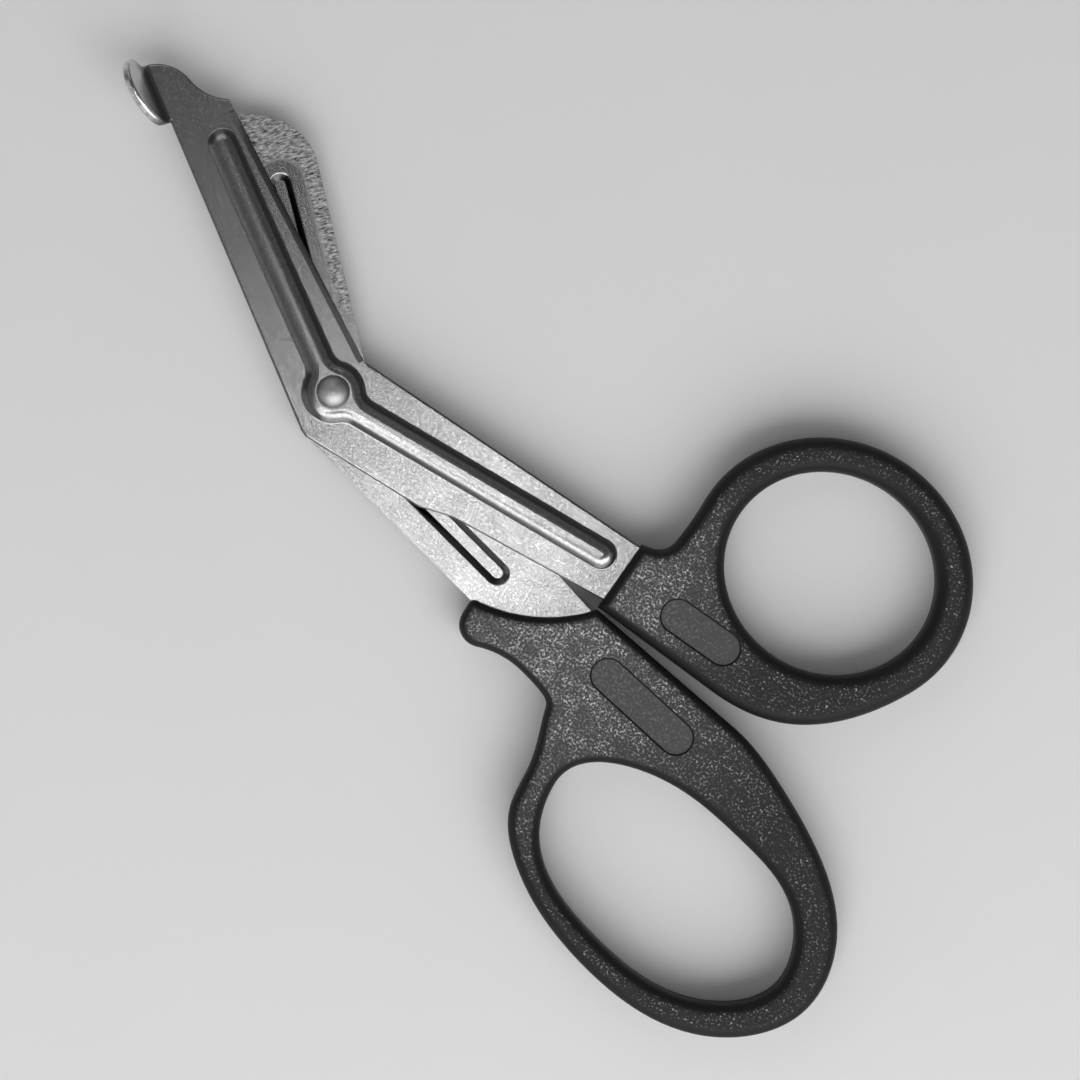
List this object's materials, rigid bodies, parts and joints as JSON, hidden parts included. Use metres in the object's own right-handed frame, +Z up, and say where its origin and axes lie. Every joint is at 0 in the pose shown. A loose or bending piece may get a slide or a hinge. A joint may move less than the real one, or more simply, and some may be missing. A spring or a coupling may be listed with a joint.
{
  "type": "bandage scissors",
  "caption": "Bandage scissors with cranked, ribbed steel blades, a blunt folded tip, a domed pivot rivet and black plastic ring handles.",
  "frame": {"origin": "on the pivot axis, at the underside of the rivet's tail, on the plane that the closed scissors lie on", "axes": "+X along the front half's shank from its handle towards the pivot, +Y towards the finger handle, +Z up from the table through the thickness"},
  "size_m": [0.1747, 0.0994, 0.0108],
  "materials": {
    "steel": "satin, fine blasted grain",
    "handle": "matt faces with a moulded grain, smooth rounded edges",
    "rivet": "semi-bright"
  },
  "bodies": {
    "front_half": {"front_blade": "steel", "thumb_handle": "handle", "pivot_rivet": "rivet"},
    "rear_half": {"rear_blade": "steel", "finger_handle": "handle"}
  },
  "joints": [
    {"name": "pivot", "type": "hinge", "parent": "front_half", "child": "rear_half", "pos_m": [0, 0, 0], "axis": [0, 0, -1], "range_deg": [0, 60]}
  ]
}
